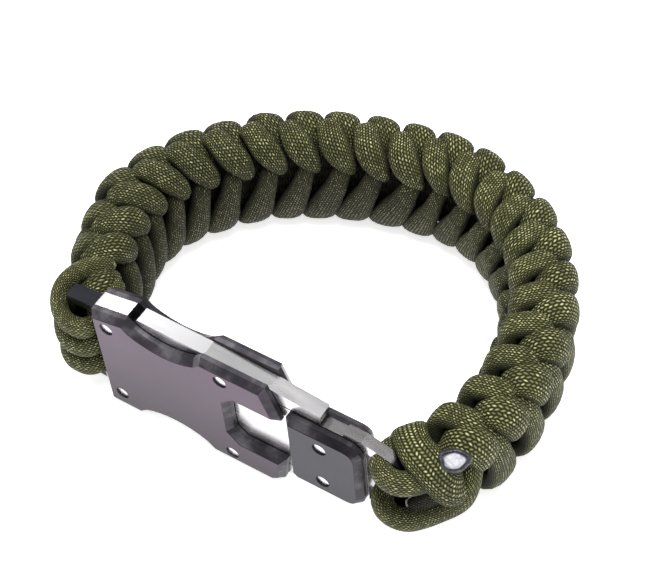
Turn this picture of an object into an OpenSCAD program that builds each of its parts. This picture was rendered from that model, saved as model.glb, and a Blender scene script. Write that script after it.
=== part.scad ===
// Paracord bracelet with a sheathed-blade clasp, lying on its side.
// The clasp stands on the front (-Y) side with its length along X, and the
// woven band runs from its left bail round the wrist hollow to its right bail.

/* [Bracelet] */
// Width of the ring across the band's centreline
ring_length = 71; // [66:0.5:80]
// Depth of the ring from the clasp's mid-plane to the far centreline
ring_depth = 54.7; // [48:0.1:66]
// How far the clasp lies to the right of the ring's middle
clasp_shift = 0.2; // [-1:0.1:2]

/* [Band] */
// Height of the woven band
band_w = 20.2; // [16:0.1:23]
// Radial thickness of the woven band
band_t = 12.8; // [9:0.1:15]
// Length along the band of one knot
knot_pitch = 6.33; // [5:0.01:8]
// Depth of the grooves between neighbouring knots
groove_depth = 1.5; // [0.4:0.1:2]
// Length of bare cord between the left bail's bar and the woven band
left_lead = 5.8; // [4.8:0.1:10]
// Length of bare cord between the right bail's bar and the woven band
right_lead = 4.4; // [4.2:0.1:10]
// Width of a bare strand, pressed flat where it is pulled round a bail
strand_w = 4.3; // [3:0.1:4.4]
// Thickness of a bare strand
strand_t = 3.4; // [2:0.1:3.6]
// Diameter of the melted cord end
melted_d = 3.6; // [2:0.1:5]
// How far the melted end stands out of the band
melted_h = 1.1; // [0.5:0.1:2]
// Distance along the band from its right end to the melted end
melted_inset = 2; // [1.9:0.1:9]

/* [Sheath scales] */
// Thickness of one metal scale
scale_t = 1.9; // [1.4:0.1:3]
// Half the height of the sheath scales
scale_half_h = 12.1; // [11.8:0.1:15]
// Length of the sheath scales
scale_length = 34.4; // [33:0.1:44]
// How much lower the scales' upper left corner is
shoulder_drop = 1.4; // [0:0.1:3]
// Width of the bevel seen on a scale's face
bevel_w = 0.9; // [0.3:0.1:1.3]
// Depth of the bevel into a scale's thickness
bevel_d = 1.1; // [0.3:0.1:1.3]
// Depth of the waist above and below
waist_depth = 2.7; // [0:0.1:3.4]
// Length of the waist
waist_length = 13.8; // [8:0.1:16]
// Distance from the scales' left end to the waist
waist_start = 6.8; // [5:0.1:8]
// How far the prongs' ends slope back from the window to their outer edges
prong_slope = 2.3; // [1:0.1:4]
// Cut of the scales' and plates' small corners
corner_cut = 0.6; // [0.3:0.1:0.9]
// Half the height of the U-shaped window
window_half_h = 5.3; // [3:0.1:6]
// Length of the U-shaped window
window_length = 9.5; // [5:0.1:11]
// Cut corner of the window
window_corner = 1.7; // [0.5:0.1:3]

/* [Steel] */
// Thickness of the steel layer between the sheath scales
steel_t = 2.7; // [2.4:0.1:4]
// Thickness of the blade and its tang
blade_t = 2; // [1.6:0.1:2.2]
// Length of the anchor plate between the scales
anchor_length = 6.5; // [5.5:0.1:7]
// Slot between the anchor plate and the rails
rail_gap = 1.1; // [0.5:0.1:2]
// Height of a rail
rail_h = 4; // [3.8:0.1:4.2]
// How far the rails reach past the scales
rail_reach = 6.6; // [3:0.1:9]
// How much lower a rail's outer edge is at its free end
rail_taper = 2; // [0:0.1:2.6]

/* [Handle] */
// Gap between the sheath scales and the handle scales
handle_gap = 0.9; // [0.4:0.1:3]
// Length of the handle scales
handle_length = 13.1; // [10:0.1:18]
// How much lower the handle scales' edges are than the sheath scales'
handle_drop = 4.4; // [4.2:0.1:5.5]
// Radius of the handle scales' right corners
handle_corner_r = 2.6; // [1:0.1:4]
// How much lower the tang's shoulders are than the sheath scales' edges
tang_drop = 3.6; // [2.6:0.1:3.9]
// Distance from the rails' ends to the tang's shoulders
tang_gap = 3.8; // [1:0.1:5]
// Length of the blade's sloping point
blade_point = 12; // [6:0.5:16]

/* [Bails] */
// Length of the right bail past the handle scales
right_bail_length = 6.6; // [6.2:0.1:10]
// Length of the left bail past the sheath scales
left_bail_length = 6; // [5.9:0.1:10]
// Thickness of a bail's end bar
bail_bar = 1.4; // [1.2:0.1:1.6]
// Width of a bail's side arms
bail_arm = 1.6; // [1.2:0.1:2]
// Half the height of the left bail's end
left_bail_half_h = 9.2; // [9:0.1:10]
// Half the height of the right bail's end
right_bail_half_h = 6.4; // [6.3:0.1:7.5]

/* [Rivets] */
// Diameter of the rivet holes
rivet_hole_d = 2.4; // [1.6:0.1:2.6]
// Depth of a rivet's face below the scale
rivet_recess = 0.35; // [0.1:0.05:0.8]
// Distance from the scales' left end to the first rivets
rivet_left_inset = 3.2; // [2.5:0.1:4]
// Distance from the scales' upper and lower edges to the first rivets
rivet_left_edge = 3.6; // [3.2:0.1:6]
// Distance from the first to the second rivets
rivet_spacing = 21.3; // [20:0.1:24]
// Distance from the scales' upper and lower edges to the second rivets
rivet_right_edge = 2.5; // [2.1:0.1:2.6]
// Height of the handle rivets from the middle
handle_rivet_h = 4.4; // [2:0.1:5.5]

/* [Fits] */
// Gap between flat pieces that lie on each other
layer_gap = 0.1; // [0.05:0.01:0.2]
// Radial gap round a rivet
rivet_gap = 0.1; // [0.05:0.01:0.2]
// Gap between the blade and the rails
blade_gap = 0.25; // [0.1:0.05:0.4]
// Gap between a cord and what it passes
cord_gap = 0.3; // [0.15:0.05:0.5]

/* [Hidden] */

black_metal = "#6c6370";
steel = "#d3d2d4";
olive = "#5f6932";

// Clasp, in its own frame: x from the sheath's left end, y from the mid-plane, z from its middle
clasp_t = 2 * scale_t + steel_t + 2 * layer_gap;
handle_start = scale_length + handle_gap;
handle_end = handle_start + handle_length;
clasp_end = handle_end + right_bail_length;
rail_start = anchor_length + rail_gap;
rail_inner = scale_half_h - rail_h;
handle_half_h = scale_half_h - handle_drop;
tang_half_h = scale_half_h - tang_drop;
rail_end = scale_length + rail_reach;
rivet_d = rivet_hole_d - 2 * rivet_gap;
left_rivet_h = scale_half_h - rivet_left_edge;
right_rivet_h = scale_half_h - rivet_right_edge;
sheath_rivets = [[rivet_left_inset, left_rivet_h], [rivet_left_inset, -left_rivet_h],
    [rivet_left_inset + rivet_spacing, right_rivet_h], [rivet_left_inset + rivet_spacing, -right_rivet_h]];
handle_rivets = [for (side = [1, -1]) [handle_start + 0.48 * handle_length, side * handle_rivet_h]];

// Where the clasp stands in the part's frame: its ends lie evenly about the ring
clasp_x = clasp_shift - (clasp_end - left_bail_length) / 2;
loop_r = norm([bail_bar, steel_t]) / 2 + cord_gap / 2 + strand_t / 2;
clasp_y = (max(clasp_t / 2, loop_r + strand_t / 2) - band_t / 2 - ring_depth) / 2;

// Band: the centreline's points, [share of half the ring's width, share of its depth]
band_route = [[-0.81, 0.02], [-0.89, 0.14], [-0.96, 0.27], [-1, 0.42], [-0.93, 0.59], [-0.73, 0.76],
    [-0.51, 0.87], [-0.28, 0.94], [-0.04, 0.98], [0.22, 1], [0.51, 0.95], [0.75, 0.83], [0.91, 0.67],
    [0.985, 0.49], [0.995, 0.32], [0.95, 0.16], [0.87, 0.02]];
// How far the band sinks from the clasp's level to rest its far side on the ground
band_drop = scale_half_h - band_w / 2;
sides = 18;
strand_sides = 10;
rings_per_knot = 5;
// How far the right loops spread apart from the bail to the band
right_fan = 3.6;
// Gap between a loop's legs and the band's end
loop_end_gap = 1.5;
// Gap between the melted end and the band, over the grooves' uneven surface
melted_gap = 1.2;
// Where on the band's section the melted end stands, from the outer face upwards
melted_angle = 52;
// How round the band's section is: 2 is an ellipse, more is squarer
squareness = 2.6;
// How far the chevrons on the inner face point ahead, as a share of the knots' pitch
chevron = 0.5;
// How small the section is at the band's ends, as a share
end_scale = 0.78;

// One point of a smooth curve through the rows of a table
function curve_point(rows, i, t) =
    let (n = len(rows) - 1, a = rows[max(i - 1, 0)], b = rows[i], c = rows[min(i + 1, n)],
        d = rows[min(i + 2, n)])
    0.5 * (2 * b + (c - a) * t + (2 * a - 5 * b + 4 * c - d) * t * t + (3 * b - a - 3 * c + d) * t * t * t);
function route_xy(row) = [row[0] * ring_length / 2, clasp_y + row[1] * ring_depth];
function running(list, i = 0, sum = 0) =
    i >= len(list) ? [sum] : concat([sum], running(list, i + 1, sum + list[i]));

band_curve = [for (i = [0 : len(band_route) - 2]) for (t = [0 : 0.125 : 0.99])
    route_xy(curve_point(band_route, i, t))];
band_steps = [for (i = [0 : len(band_curve) - 2]) norm(band_curve[i + 1] - band_curve[i])];
band_run = running(band_steps);
band_x = [for (i = [0 : len(band_curve) - 1]) [band_run[i], band_curve[i][0]]];
band_y = [for (i = [0 : len(band_curve) - 1]) [band_run[i], band_curve[i][1]]];
route_length = band_run[len(band_run) - 1];
function along(s) = [lookup(s, band_x), lookup(s, band_y)];
function heading(s) = let (d = along(s + knot_pitch / 8) - along(s - knot_pitch / 8)) d / norm(d);
function outward(s) = let (h = heading(s)) [-h[1], h[0]];

// Bail bars, in plan, and the woven stretch between them
left_bar = [clasp_x - left_bail_length + bail_bar / 2, clasp_y];
right_bar = [clasp_x + clasp_end - bail_bar / 2, clasp_y];
function first_past(point, lead, s, step) =
    norm(along(s) - point) >= lead ? s : first_past(point, lead, s + step, step);
band_start = first_past(left_bar, left_lead, knot_pitch / 6, knot_pitch / 25);
band_end = first_past(right_bar, right_lead, route_length - knot_pitch / 6, -knot_pitch / 25);
band_length = band_end - band_start;
knots = round(band_length / knot_pitch);
pitch = band_length / knots;
rings = knots * rings_per_knot;

// Height of the band's middle above the ground
function band_level(s) =
    let (u = (s - band_start) / band_length)
    scale_half_h - band_drop * pow(sin(180 * min(max(u, 0), 1)), 0.7);
// The section narrows to a rounded end
function end_share(s) =
    let (d = min(s - band_start, band_end - s)) end_scale + (1 - end_scale) * min(1, d / (0.5 * pitch));
// Grooves lean by one knot across the outer face and form chevrons on the inner face
function knot_phase(s, a) =
    360 * (s / pitch + (cos(a) > 0 ? (1 - sin(a)) / 2 : -chevron * (1 - abs(sin(a)))));
function power(v, e) = v < 0 ? -pow(-v, e) : pow(v, e);
function band_point(s, a) =
    let (o = outward(s), e = 2 / squareness, k = end_share(s),
        g = groove_depth * (0.5 - 0.5 * cos(knot_phase(s, a))) * (0.35 + 0.65 * abs(sin(a))),
        u = (band_t / 2 * k - g) * power(cos(a), e), v = (band_w / 2 * k - g) * power(sin(a), e),
        p = along(s))
    [p[0] + o[0] * u, p[1] + o[1] * u, band_level(s) + v];

// Triangles that fill a counter-clockwise outline, one corner cut off at a time
function turn(a, b, c) = (b[0] - a[0]) * (c[1] - a[1]) - (b[1] - a[1]) * (c[0] - a[0]);
function inside(p, a, b, c) = turn(a, b, p) >= 0 && turn(b, c, p) >= 0 && turn(c, a, p) >= 0;
function corner(ids, k) = let (n = len(ids)) [ids[(k + n - 1) % n], ids[k], ids[(k + 1) % n]];
function is_free(points, ids, k) =
    let (c = corner(ids, k), a = points[c[0]], b = points[c[1]], d = points[c[2]])
    turn(a, b, d) > 0.000001
    && len([for (j = ids) if (len(search(j, c)) == 0 && inside(points[j], a, b, d)) j]) == 0;
function first_free(points, ids, k = 0) = is_free(points, ids, k) ? k : first_free(points, ids, k + 1);
function fill(points, ids) = len(ids) < 4 ? [ids] : let (k = first_free(points, ids))
    concat([corner(ids, k)], fill(points, [for (j = [0 : len(ids) - 1]) if (j != k) ids[j]]));

// A closed skin over rings of points, its ends filled by the given faces
module skin(ring_list, ends) {
    n = len(ring_list[0]);
    last = len(ring_list) - 1;
    faces = concat(ends,
        [for (i = [0 : last - 1]) for (j = [0 : n - 1])
            [i * n + j, (i + 1) * n + j, (i + 1) * n + (j + 1) % n, i * n + (j + 1) % n]],
        [for (face = ends) [for (j = [len(face) - 1 : -1 : 0]) last * n + face[j]]]);
    polyhedron([for (ring = ring_list) each ring], faces, convexity = 8);
}
function round_end(count) = [[for (j = [0 : count - 1]) j]];

// Cord loop round a bail's bar: two legs from the band and a half turn round the bar
function loop_route(bar, s_end) =
    let (d = (along(s_end) - bar) / norm(along(s_end) - bar), side = [-d[1], d[0]],
        r = loop_r,
        leg = norm(along(s_end) - bar) - loop_end_gap,
        spread = (band_t * end_scale - strand_t) / 2 - groove_depth / 2)
    concat([bar + d * leg + side * spread, bar + d * leg * 0.55 + side * (spread + r) / 2 * 1.06],
        [for (a = [0 : 20 : 180]) bar + side * r * cos(a) - d * r * sin(a)],
        [bar + d * leg * 0.55 - side * (spread + r) / 2 * 1.06, bar + d * leg - side * spread]);
function tube_ring(route, i, z, sides) =
    let (n = len(route) - 1, d = route[min(i + 1, n)] - route[max(i - 1, 0)], h = d / norm(d))
    [for (j = [0 : sides - 1]) let (a = 360 * j / sides)
        [route[i][0] - h[1] * strand_t / 2 * cos(a), route[i][1] + h[0] * strand_t / 2 * cos(a),
        z + strand_w / 2 * sin(a)]];
// The loops lie above each other: place counts strands up from the clasp's middle, and
// fan is how much further from the middle a loop's ends are than its turn
module cord_loop(bar, s_end, place, fan = 0) {
    route = loop_route(bar, s_end);
    middle = (len(route) - 1) / 2;
    color(olive) skin([for (i = [0 : len(route) - 1])
        let (z = scale_half_h + place * ((strand_w + cord_gap) + fan * abs(i - middle) / middle))
        tube_ring(route, i, z, strand_sides)], round_end(strand_sides));
}

// Puts a piece of the clasp in its place: the outline's plane turns upright
module in_clasp() {
    translate([clasp_x, clasp_y, scale_half_h]) children();
}
// A flat plate of the clasp, from an outline in x and z, centred on y
module plate(outline, thickness, y = 0) {
    translate([0, y + thickness / 2, 0]) rotate([90, 0, 0]) linear_extrude(thickness) polygon(outline);
}
module cross_hole(place, d, length) {
    translate([place[0], length / 2, place[1]]) rotate([90, 0, 0]) cylinder(d = d, h = length, $fn = 32);
}

// The outline moved inwards by a distance, corner by corner
function edge_in(a, b) = let (d = (b - a) / norm(b - a)) [-d[1], d[0]];
function inset(points, dist) = let (n = len(points)) [for (i = [0 : n - 1])
    let (m = edge_in(points[(i + n - 1) % n], points[i]), k = edge_in(points[i], points[(i + 1) % n]))
    points[i] + (m + k) * dist / (1 + m * k)];

// A scale: full outline on the steel side, bevelled on its face, side 1 is the front
module scale_plate(outline, side, inner_y) {
    inner = -side * inner_y;
    face = inner - side * scale_t;
    rim = face + side * bevel_d;
    small = inset(outline, bevel_w);
    layers = [[outline, inner], [outline, rim], [small, face]];
    ordered = side > 0 ? layers : [layers[2], layers[1], layers[0]];
    skin([for (layer = ordered) [for (p = layer[0]) [p[0], layer[1], p[1]]]],
        fill(small, [for (i = [0 : len(outline) - 1]) i]));
}

// Waist line: share of the waist's depth along its length
function waist(t) = pow(sin(180 * t), 0.6);
waist_steps = 10;
function waist_point(t, side) =
    [waist_start + waist_length * t, side * (scale_half_h - waist_depth * waist(t))];
window_start = scale_length - window_length;
// The sheath scale's outline, counter-clockwise from the lower left
sheath_outline = concat(
    [[0, -scale_half_h + corner_cut], [corner_cut, -scale_half_h]],
    [for (i = [0 : waist_steps]) waist_point(i / waist_steps, -1)],
    [[scale_length - prong_slope, -scale_half_h],
    [scale_length - prong_slope / 3, -scale_half_h + 2 * corner_cut],
    [scale_length, -window_half_h], [window_start + window_corner, -window_half_h],
    [window_start, -window_half_h + window_corner], [window_start, window_half_h - window_corner],
    [window_start + window_corner, window_half_h], [scale_length, window_half_h],
    [scale_length - prong_slope, scale_half_h]],
    [for (i = [waist_steps : -1 : 0]) waist_point(i / waist_steps, 1)],
    [[0, scale_half_h - shoulder_drop]]);
// The handle scale's outline, with round corners on the right
handle_outline = concat(
    [[handle_start, -handle_half_h + 2 * corner_cut], [handle_start + 2 * corner_cut, -handle_half_h]],
    [for (a = [-90 : 18 : 0]) [handle_end - handle_corner_r * (1 - cos(a)),
        -handle_half_h + handle_corner_r * (1 + sin(a))]],
    [for (a = [0 : 18 : 90]) [handle_end - handle_corner_r * (1 - cos(a)),
        handle_half_h - handle_corner_r * (1 - sin(a))]],
    [[handle_start + corner_cut, handle_half_h], [handle_start, handle_half_h - corner_cut]]);

module sheath_scale(side) {
    color(black_metal) in_clasp() difference() {
        scale_plate(sheath_outline, side, steel_t / 2 + layer_gap);
        for (place = sheath_rivets) cross_hole(place, rivet_hole_d, 2 * clasp_t);
    }
}
module sheath_front_scale() { sheath_scale(1); }
module sheath_back_scale() { sheath_scale(-1); }
module handle_scale(side) {
    inner_y = steel_t / 2 + layer_gap - (side < 0 ? steel_t - blade_t : 0);
    color(black_metal) in_clasp() difference() {
        scale_plate(handle_outline, side, inner_y);
        for (place = handle_rivets) cross_hole(place, rivet_hole_d, 2 * clasp_t);
    }
}
module handle_front_scale() { handle_scale(1); }
module handle_back_scale() { handle_scale(-1); }

// A bail's outline from its root to its end bar, and the opening that the cord goes through
function bail_outline(root, tip, root_h, tip_h) =
    [[root, -root_h], [tip, -tip_h], [tip, tip_h], [root, root_h]];
module bail_opening(root, bar, root_h, tip_h) {
    plate(bail_outline(root, bar, root_h - bail_arm, tip_h - bail_arm), 2 * steel_t);
}

module anchor_plate() {
    slope = shoulder_drop / waist_start;
    edge_h = scale_half_h - shoulder_drop;
    color(steel) in_clasp() difference() {
        union() {
            plate([[0, -scale_half_h + corner_cut], [corner_cut, -scale_half_h], [anchor_length, -scale_half_h],
                [anchor_length, edge_h + slope * anchor_length], [0, edge_h]], steel_t);
            plate(bail_outline(corner_cut, -left_bail_length, edge_h - corner_cut, left_bail_half_h), steel_t);
        }
        bail_opening(0, bail_bar - left_bail_length, edge_h - corner_cut, left_bail_half_h);
        for (i = [0, 1]) cross_hole(sheath_rivets[i], rivet_hole_d, 2 * clasp_t);
    }
}

// A rail: outer edge level with the scales at first, then sloping to a cut end
function rail_outline(side) = let (top = scale_half_h - 2 * layer_gap)
    [[rail_start, side * (rail_inner + corner_cut)], [rail_start + corner_cut, side * rail_inner],
    [rail_end - corner_cut, side * rail_inner], [rail_end, side * (rail_inner + corner_cut)],
    [rail_end, side * (top - rail_taper)], [scale_length - prong_slope, side * (top - rail_taper / 2)],
    [waist_start + waist_length, side * (top - rail_taper / 8)], [rail_start + corner_cut, side * top],
    [rail_start, side * (top - corner_cut)]];
module rail(side, rivet_place) {
    color(steel) in_clasp() difference() {
        plate(rail_outline(side), steel_t);
        cross_hole(rivet_place, rivet_hole_d, 2 * clasp_t);
    }
}
module upper_rail() { rail(1, sheath_rivets[2]); }
module lower_rail() { rail(-1, sheath_rivets[3]); }

// Blade, tang and right bail, cut from one plate
module blade_and_tang() {
    blade_h = rail_inner - blade_gap;
    tip = rail_start + rail_gap;
    shoulder = rail_end + tang_gap;
    neck = handle_end - corner_cut;
    y = (blade_t - steel_t) / 2;
    color(steel) in_clasp() difference() {
        union() {
            plate([[tip, -blade_h], [neck, -blade_h], [neck, blade_h], [tip + blade_point, blade_h],
                [tip + blade_point / 3, 0]], blade_t, y);
            plate([[shoulder, -tang_half_h], [neck, -tang_half_h], [clasp_end, -right_bail_half_h],
                [clasp_end, right_bail_half_h], [neck, tang_half_h], [shoulder, tang_half_h]], blade_t, y);
        }
        bail_opening(handle_end + 2 * layer_gap, clasp_end - bail_bar, tang_half_h - corner_cut,
            right_bail_half_h);
        for (place = handle_rivets) cross_hole(place, rivet_hole_d, 2 * clasp_t);
    }
}

module rivet(place, back_y = clasp_t / 2) {
    front = -clasp_t / 2 + rivet_recess;
    back = back_y - rivet_recess;
    color(steel) in_clasp() translate([0, (front + back) / 2, 0]) cross_hole(place, rivet_d, back - front);
}
module sheath_rivet_1() { rivet(sheath_rivets[0]); }
module sheath_rivet_2() { rivet(sheath_rivets[1]); }
module sheath_rivet_3() { rivet(sheath_rivets[2]); }
module sheath_rivet_4() { rivet(sheath_rivets[3]); }
handle_back_y = clasp_t / 2 - (steel_t - blade_t);
module handle_rivet_1() { rivet(handle_rivets[0], handle_back_y); }
module handle_rivet_2() { rivet(handle_rivets[1], handle_back_y); }

module woven_band() {
    color(olive) skin([for (i = [0 : rings]) let (s = band_start + band_length * i / rings)
        [for (j = [0 : sides - 1]) band_point(s, 360 * j / sides)]], round_end(sides));
}

module left_loop_upper() { cord_loop(left_bar, band_start, 1); }
module left_loop_middle() { cord_loop(left_bar, band_start, 0); }
module left_loop_lower() { cord_loop(left_bar, band_start, -1); }
module right_loop_upper() { cord_loop(right_bar, band_end, 0.5, right_fan); }
module right_loop_lower() { cord_loop(right_bar, band_end, -0.5, right_fan); }

// Melted end of the cord, standing out of the band's upper outer edge near its right end
module melted_cord_end() {
    s = band_end - melted_inset;
    middle = [along(s)[0], along(s)[1], band_level(s)];
    foot = band_point(s, melted_angle);
    d = (foot - middle) / norm(foot - middle);
    color("white") translate(foot + d * melted_gap) rotate([0, acos(d[2]), atan2(d[1], d[0])])
        cylinder(d1 = melted_d, d2 = melted_d * 0.8, h = melted_h, $fn = 24);
}

sheath_front_scale();
sheath_back_scale();
anchor_plate();
upper_rail();
lower_rail();
blade_and_tang();
handle_front_scale();
handle_back_scale();
sheath_rivet_1();
sheath_rivet_2();
sheath_rivet_3();
sheath_rivet_4();
handle_rivet_1();
handle_rivet_2();
woven_band();
left_loop_upper();
left_loop_middle();
left_loop_lower();
right_loop_upper();
right_loop_lower();
melted_cord_end();
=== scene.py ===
"""Paracord bracelet with a sheathed-blade clasp, lying on its side.

The clasp's metal pieces keep their CAD shapes and get their finishes here. The band, the loops round the two
bails and the melted end are replaced by the cord's own strands. Lengths are in millimetres, and MM makes them
metres, except where a comment says metres.
"""
import math

import bpy
import numpy as np
from mathutils import Matrix, Vector


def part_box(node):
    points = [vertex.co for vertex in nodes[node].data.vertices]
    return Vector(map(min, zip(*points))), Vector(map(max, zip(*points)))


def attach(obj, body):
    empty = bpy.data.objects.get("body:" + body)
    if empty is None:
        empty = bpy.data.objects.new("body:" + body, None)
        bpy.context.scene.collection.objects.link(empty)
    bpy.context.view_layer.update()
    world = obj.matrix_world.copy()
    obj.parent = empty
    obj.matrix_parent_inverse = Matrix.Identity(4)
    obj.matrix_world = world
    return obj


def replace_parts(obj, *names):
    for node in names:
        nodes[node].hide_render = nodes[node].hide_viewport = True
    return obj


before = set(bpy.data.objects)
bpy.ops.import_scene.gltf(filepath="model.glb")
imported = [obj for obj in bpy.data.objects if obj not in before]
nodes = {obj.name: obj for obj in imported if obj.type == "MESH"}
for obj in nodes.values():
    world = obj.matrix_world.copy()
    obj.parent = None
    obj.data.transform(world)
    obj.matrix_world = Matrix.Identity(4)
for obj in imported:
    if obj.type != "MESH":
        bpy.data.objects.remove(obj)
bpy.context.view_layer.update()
MM = 0.001
rng = np.random.default_rng(7)

# The camera, fitted to points of the clasp; its distances are in metres

IMAGE_WIDTH, FOCAL_PIXELS, SENSOR_WIDTH = 646, 1757.0, 36.0
VIEW_UP, VIEW_ROLL, VIEW_AROUND = (math.radians(a) for a in (51.61, -5.80, 36.81))
VIEW_DISTANCE = 0.2847
VIEW_TARGET = Vector((-0.00162, -0.00087, 0.011))
VIEW_NEAR, VIEW_FAR = 0.01, 10.0


def place_camera():
    """A camera that looks down at the target from the given height and turn, rolled about its view axis.

    It stands at the target plus the distance times the backward direction. Its two side axes are the level
    right-hand direction and the one square to it and to the view, turned into each other by the roll.
    """
    back = Vector((math.sin(VIEW_AROUND) * math.cos(VIEW_UP),
                   -math.cos(VIEW_AROUND) * math.cos(VIEW_UP), math.sin(VIEW_UP)))
    right = Vector((math.cos(VIEW_AROUND), math.sin(VIEW_AROUND), 0.0))
    up = back.cross(right)
    c, s = math.cos(VIEW_ROLL), math.sin(VIEW_ROLL)
    x_axis, y_axis = right * c + up * s, up * c - right * s
    data = bpy.data.cameras.new("photo_camera")
    data.sensor_width = SENSOR_WIDTH
    data.lens = FOCAL_PIXELS / IMAGE_WIDTH * SENSOR_WIDTH
    data.clip_start, data.clip_end = VIEW_NEAR, VIEW_FAR
    camera = bpy.data.objects.new("photo_camera", data)
    bpy.context.scene.collection.objects.link(camera)
    place = Matrix((x_axis, y_axis, back)).transposed().to_4x4()
    place.translation = VIEW_TARGET + back * VIEW_DISTANCE
    camera.matrix_world = place
    bpy.context.scene.camera = camera


place_camera()

# Sizes of the bracelet

RING_LENGTH, RING_DEPTH = 71.0, 54.7  # the band's centreline in plan, along the clasp and across it
CLASP_SHIFT = 0.2                     # the clasp's middle lies this far right of the ring's
BAND_W, BAND_T = 20.2, 12.8           # the band's height on the table, and its thickness
SQUARENESS = 2.6                      # the power of the superellipse that is the band's section
KNOT_PITCH = 6.33                     # the wanted step from knot to knot
LEFT_LEAD, RIGHT_LEAD = 5.8, 4.4      # the least room from each bail's bar to the band's end
END_SCALE, END_KNOTS = 0.78, 0.5      # the section narrows to this share over the last half knot
RISE_POWER = 0.7                      # how soon the band's middle comes down from the clasp's middle
STRAND_W, STRAND_T = 4.3, 3.4         # a bare cord, a little flattened
CORD_GAP = 0.3                        # the room between a loop and its bar
SCALE_HALF_H = 12.1                   # half the height of the clasp's black scales
CLASP_END = 55.0                      # from the sheath's left end to the right bail's outer edge
LEFT_BAIL, BAIL_BAR = 6.0, 1.4        # how far the left bail reaches out, and the width of a bail's bar
STEEL_T = 2.7                         # the thickness of the steel plates
# The centreline from the left bail round to the right one, in half lengths and depths of the ring
BAND_ROUTE = np.array([
    (-0.81, 0.02), (-0.89, 0.14), (-0.96, 0.27), (-1, 0.42), (-0.93, 0.59), (-0.73, 0.76),
    (-0.51, 0.87), (-0.28, 0.94), (-0.04, 0.98), (0.22, 1), (0.51, 0.95), (0.75, 0.83), (0.91, 0.67),
    (0.985, 0.49), (0.995, 0.32), (0.95, 0.16), (0.87, 0.02)])
ROUTE_STEPS = 32
CLASP_X = CLASP_SHIFT - (CLASP_END - LEFT_BAIL) / 2
LOOP_R = math.hypot(BAIL_BAR, STEEL_T) / 2 + CORD_GAP / 2 + STRAND_T / 2
CLASP_Y = (LOOP_R + STRAND_T / 2 - BAND_T / 2 - RING_DEPTH) / 2
LEFT_BAR = np.array([CLASP_X - LEFT_BAIL + BAIL_BAR / 2, CLASP_Y])
RIGHT_BAR = np.array([CLASP_X + CLASP_END - BAIL_BAR / 2, CLASP_Y])


def smooth_rows(rows, count):
    """Smooth curve through the rows of a table, sampled at count even steps of its row number.

    Between two rows it is the cubic that passes through both, with a slope at each of half the difference
    between the row's two neighbours. A row past each end of the table goes straight on.
    """
    rows = np.asarray(rows, float)
    padded = np.vstack([2 * rows[0] - rows[1], rows, 2 * rows[-1] - rows[-2]])
    x = np.linspace(0, len(rows) - 1, count)
    i = np.minimum(x.astype(int), len(rows) - 2)
    t = (x - i)[:, None]
    a, b, c, d = padded[i], padded[i + 1], padded[i + 2], padded[i + 3]
    return 0.5 * (2 * b + (c - a) * t + (2 * a - 5 * b + 4 * c - d) * t ** 2
                  + (3 * b - a - 3 * c + d) * t ** 3)


def rise(x, start, over):
    """0 up to start and 1 from start plus over, straight between; it falls instead where over is negative."""
    return np.clip((x - start) / over, 0, 1)


def running_length(points):
    """Distance along a chain of points, from 0 at its first point: the running sum of its steps' lengths."""
    steps = np.linalg.norm(np.diff(points, axis=-2), axis=-1)
    return np.concatenate([np.zeros_like(steps[..., :1]), np.cumsum(steps, axis=-1)], axis=-1)


route = smooth_rows(BAND_ROUTE * (RING_LENGTH / 2, RING_DEPTH) + (0, CLASP_Y),
                    (len(BAND_ROUTE) - 1) * ROUTE_STEPS + 1)
route_run = running_length(route)


def along(s):
    """The band's centreline in plan at distance s, read off the route; it runs on straight past its ends."""
    s = np.asarray(s, float)
    inside = np.clip(s, 0, route_run[-1])
    point = np.stack([np.interp(inside, route_run, route[:, k]) for k in (0, 1)], -1)
    first, last = (route[i + 1] - route[i] for i in (0, -2))
    point += np.minimum(s, 0)[..., None] * first / np.linalg.norm(first)
    return point + np.maximum(s - route_run[-1], 0)[..., None] * last / np.linalg.norm(last)


def outward(s):
    """Unit vector in plan that points out of the ring: a quarter turn from the way there.

    The way is the centreline's step from a third of a knot before the place to a third of a knot past it.
    """
    d = along(s + KNOT_PITCH / 3) - along(s - KNOT_PITCH / 3)
    d /= np.linalg.norm(d, axis=-1, keepdims=True)
    return np.stack([-d[..., 1], d[..., 0]], -1)


SEARCH_START, SEARCH_STEP, SEARCH_STEPS = KNOT_PITCH / 6, KNOT_PITCH / 25, 200


def first_past(bar, lead, start, step):
    """The first distance along the centreline, by steps from start, at least lead away from a bail's bar."""
    s = start + step * np.arange(SEARCH_STEPS)
    return s[np.argmax(np.linalg.norm(along(s) - bar, axis=-1) >= lead)]


BAND_START = first_past(LEFT_BAR, LEFT_LEAD, SEARCH_START, SEARCH_STEP)
BAND_END = first_past(RIGHT_BAR, RIGHT_LEAD, route_run[-1] - SEARCH_START, -SEARCH_STEP)
KNOTS = round((BAND_END - BAND_START) / KNOT_PITCH)
PITCH = (BAND_END - BAND_START) / KNOTS


def level(s):
    """Height of the band's middle above the table.

    It is the clasp's middle at both ends, and lower by a power of the sine of the share of the way, so that
    the band's edge rests on the table at the far side.
    """
    u = np.clip((s - BAND_START) / (BAND_END - BAND_START), 0, 1)
    return SCALE_HALF_H - (SCALE_HALF_H - BAND_W / 2) * np.sin(math.pi * u) ** RISE_POWER


OUTLINE_SAMPLES = 4001


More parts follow.
